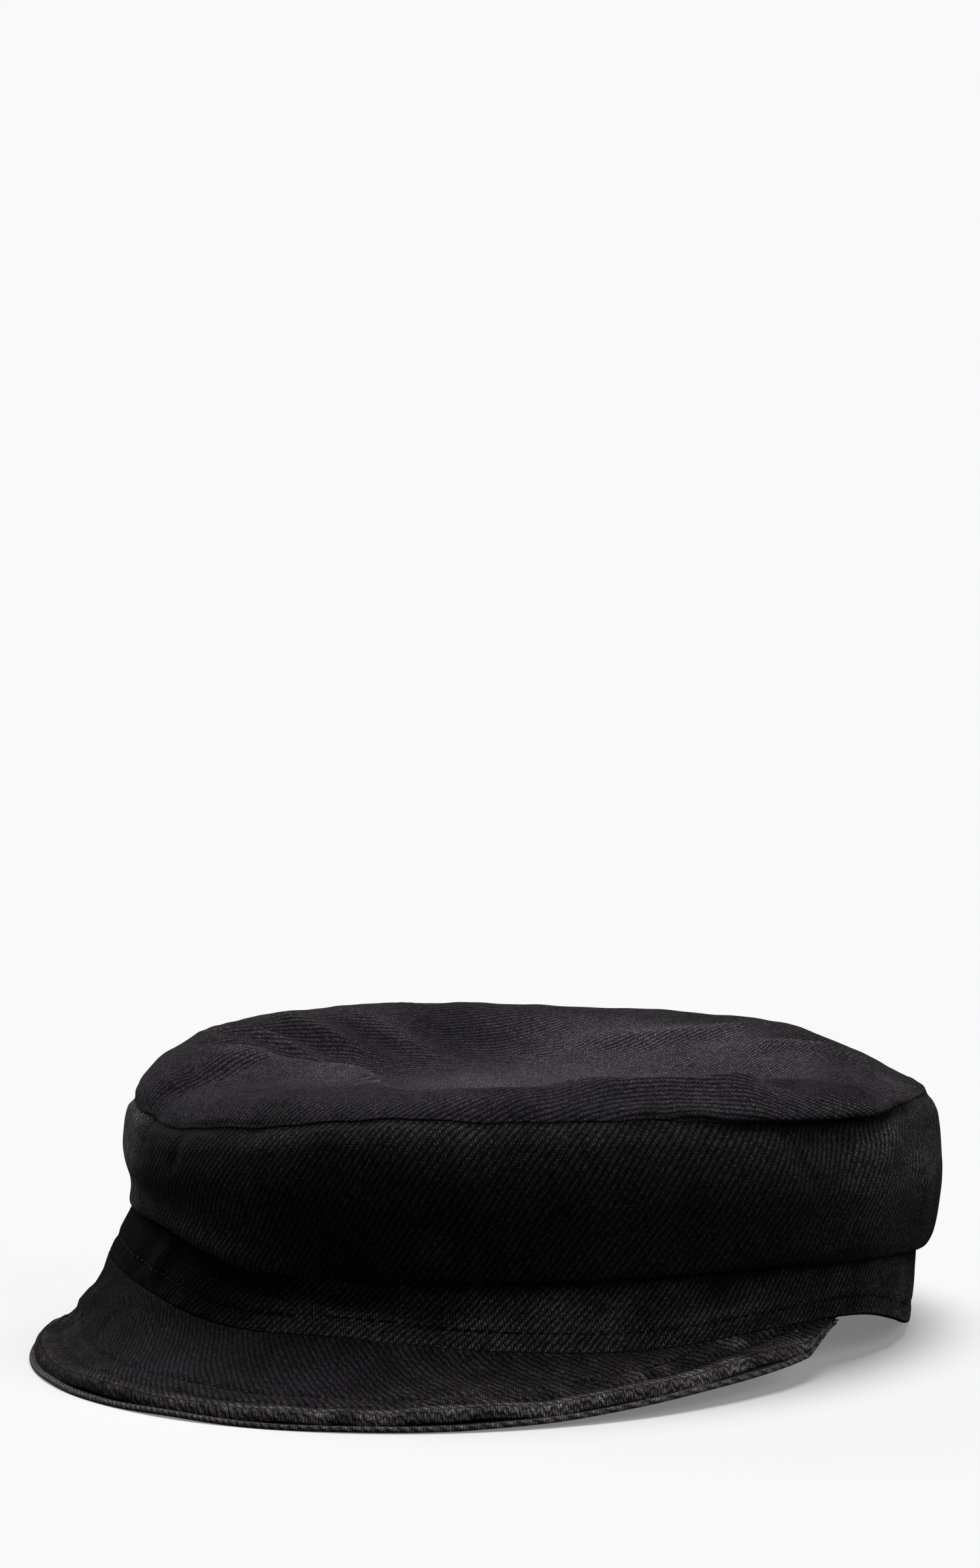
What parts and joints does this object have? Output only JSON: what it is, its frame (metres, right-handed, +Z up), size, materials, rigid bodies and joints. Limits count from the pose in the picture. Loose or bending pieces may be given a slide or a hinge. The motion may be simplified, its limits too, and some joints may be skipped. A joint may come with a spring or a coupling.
{
  "type": "work cap",
  "caption": "Soft black cotton twill work cap with a round slumped crown, a stitched head band and a short soft peak, lying on its hem and peak.",
  "frame": {"origin": "on the surface the cap lies on, under the middle of the cap's box", "axes": "+Z up, -Y the way the peak points, +X the wearer's left"},
  "size_m": [0.1814, 0.2444, 0.0635],
  "materials": {
    "twill_top": "washed black cotton twill, matt, with a fine diagonal rib and a little lint",
    "twill_side": "black cotton twill with a steep diagonal rib, matt",
    "twill_band": "black cotton twill folded double, hem stitched, edge slightly frayed",
    "twill_peak": "black cotton twill, worn paler along two rows of topstitching and at the edge"
  },
  "bodies": {
    "root": {"top_panel": "twill_top", "crown_side_front": "twill_side", "crown_side_back": "twill_side", "head_band": "twill_band", "peak_top": "twill_peak", "peak_under": "twill_peak"}
  },
  "joints": []
}
